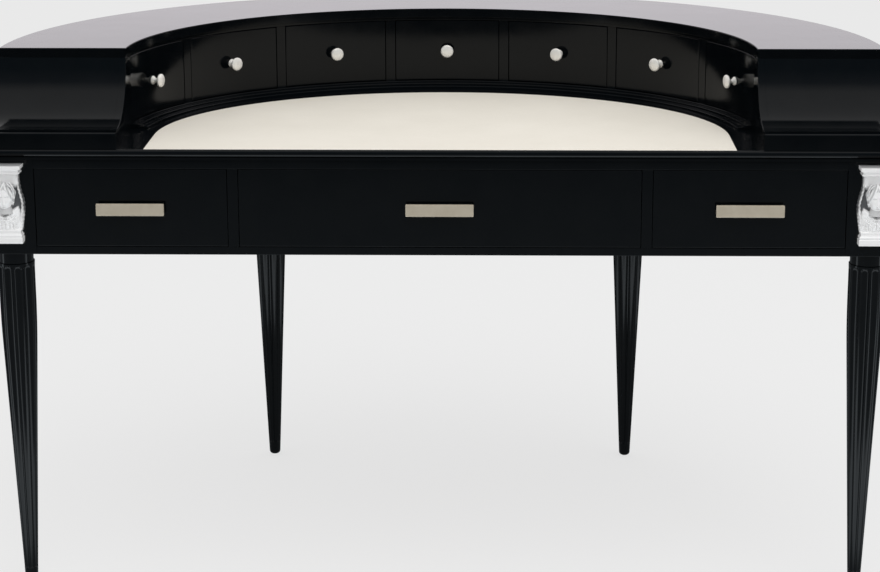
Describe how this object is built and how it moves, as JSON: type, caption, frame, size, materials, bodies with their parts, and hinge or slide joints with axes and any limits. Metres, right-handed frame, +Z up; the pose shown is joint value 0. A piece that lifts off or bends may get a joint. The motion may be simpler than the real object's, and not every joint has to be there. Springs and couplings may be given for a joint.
{
  "type": "writing desk",
  "caption": "Half-elliptical writing desk: a curved bank of small drawers round an inset leather top, frieze drawers with bar pulls, fluted tapering legs and cast corner busts.",
  "frame": {"origin": "the middle of the bounding box on the floor", "axes": "+X runs to the right along the front, +Y to the back, +Z up"},
  "size_m": [1.502, 0.825, 0.907],
  "materials": {
    "black_lacquer": "black lacquer polished to a high gloss over wood",
    "drawer_wood": "plain satin hardwood inside the desk",
    "cream_leather": "smooth cream leather, slightly sheened",
    "nickel": "satin nickel with a warm tone",
    "silvered_metal": "silvered casting, bright on the high parts"
  },
  "bodies": {
    "desk": {"desk_top": "black_lacquer", "leather_inset": "cream_leather", "frieze_top_rail": "black_lacquer", "frieze_bottom_rail": "black_lacquer", "frieze_stile_left": "black_lacquer", "frieze_stile_right": "black_lacquer", "apron_left": "black_lacquer", "apron_rear": "black_lacquer", "apron_right": "black_lacquer", "cross_rail": "drawer_wood", "drawer_runners": "drawer_wood", "front_leg_left": "black_lacquer", "front_leg_right": "black_lacquer", "rear_leg_left": "black_lacquer", "rear_leg_right": "black_lacquer", "corner_mount_left": "silvered_metal", "corner_mount_right": "silvered_metal", "case_plinth": "black_lacquer", "case_floor": "black_lacquer", "case_outer_wall": "black_lacquer", "wing_front_left": "black_lacquer", "wing_front_right": "black_lacquer", "wing_cheek_left": "black_lacquer", "wing_cheek_right": "black_lacquer", "drawer_partitions": "black_lacquer", "case_ceiling": "black_lacquer", "case_top": "black_lacquer"},
    "frieze_drawer_left": {"frieze_drawer_front_left": "black_lacquer", "frieze_drawer_tray_left": "drawer_wood", "bar_pull_left": "nickel"},
    "frieze_drawer_centre": {"frieze_drawer_front_centre": "black_lacquer", "frieze_drawer_tray_centre": "drawer_wood", "bar_pull_centre": "nickel"},
    "frieze_drawer_right": {"frieze_drawer_front_right": "black_lacquer", "frieze_drawer_tray_right": "drawer_wood", "bar_pull_right": "nickel"},
    "small_drawer_1": {"small_drawer_front_1": "black_lacquer", "small_drawer_tray_1": "drawer_wood", "small_drawer_knob_1": "nickel"},
    "small_drawer_2": {"small_drawer_front_2": "black_lacquer", "small_drawer_tray_2": "drawer_wood", "small_drawer_knob_2": "nickel"},
    "small_drawer_3": {"small_drawer_front_3": "black_lacquer", "small_drawer_tray_3": "drawer_wood", "small_drawer_knob_3": "nickel"},
    "small_drawer_4": {"small_drawer_front_4": "black_lacquer", "small_drawer_tray_4": "drawer_wood", "small_drawer_knob_4": "nickel"},
    "small_drawer_5": {"small_drawer_front_5": "black_lacquer", "small_drawer_tray_5": "drawer_wood", "small_drawer_knob_5": "nickel"},
    "small_drawer_6": {"small_drawer_front_6": "black_lacquer", "small_drawer_tray_6": "drawer_wood", "small_drawer_knob_6": "nickel"},
    "small_drawer_7": {"small_drawer_front_7": "black_lacquer", "small_drawer_tray_7": "drawer_wood", "small_drawer_knob_7": "nickel"}
  },
  "joints": [
    {"name": "frieze_drawer_left_slide", "type": "slide", "parent": "desk", "child": "frieze_drawer_left", "axis": [0, -1, 0], "range_m": [0, 0.25]},
    {"name": "frieze_drawer_centre_slide", "type": "slide", "parent": "desk", "child": "frieze_drawer_centre", "axis": [0, -1, 0], "range_m": [0, 0.25]},
    {"name": "frieze_drawer_right_slide", "type": "slide", "parent": "desk", "child": "frieze_drawer_right", "axis": [0, -1, 0], "range_m": [0, 0.25]},
    {"name": "small_drawer_1_slide", "type": "slide", "parent": "desk", "child": "small_drawer_1", "axis": [0.9391, -0.3436, 0], "range_m": [0, 0.04]},
    {"name": "small_drawer_2_slide", "type": "slide", "parent": "desk", "child": "small_drawer_2", "axis": [0.6902, -0.7236, 0], "range_m": [0, 0.04]},
    {"name": "small_drawer_3_slide", "type": "slide", "parent": "desk", "child": "small_drawer_3", "axis": [0.3553, -0.9348, 0], "range_m": [0, 0.04]},
    {"name": "small_drawer_4_slide", "type": "slide", "parent": "desk", "child": "small_drawer_4", "axis": [0, -1, 0], "range_m": [0, 0.04]},
    {"name": "small_drawer_5_slide", "type": "slide", "parent": "desk", "child": "small_drawer_5", "axis": [-0.3553, -0.9348, 0], "range_m": [0, 0.04]},
    {"name": "small_drawer_6_slide", "type": "slide", "parent": "desk", "child": "small_drawer_6", "axis": [-0.6902, -0.7236, 0], "range_m": [0, 0.04]},
    {"name": "small_drawer_7_slide", "type": "slide", "parent": "desk", "child": "small_drawer_7", "axis": [-0.9391, -0.3436, 0], "range_m": [0, 0.04]}
  ]
}
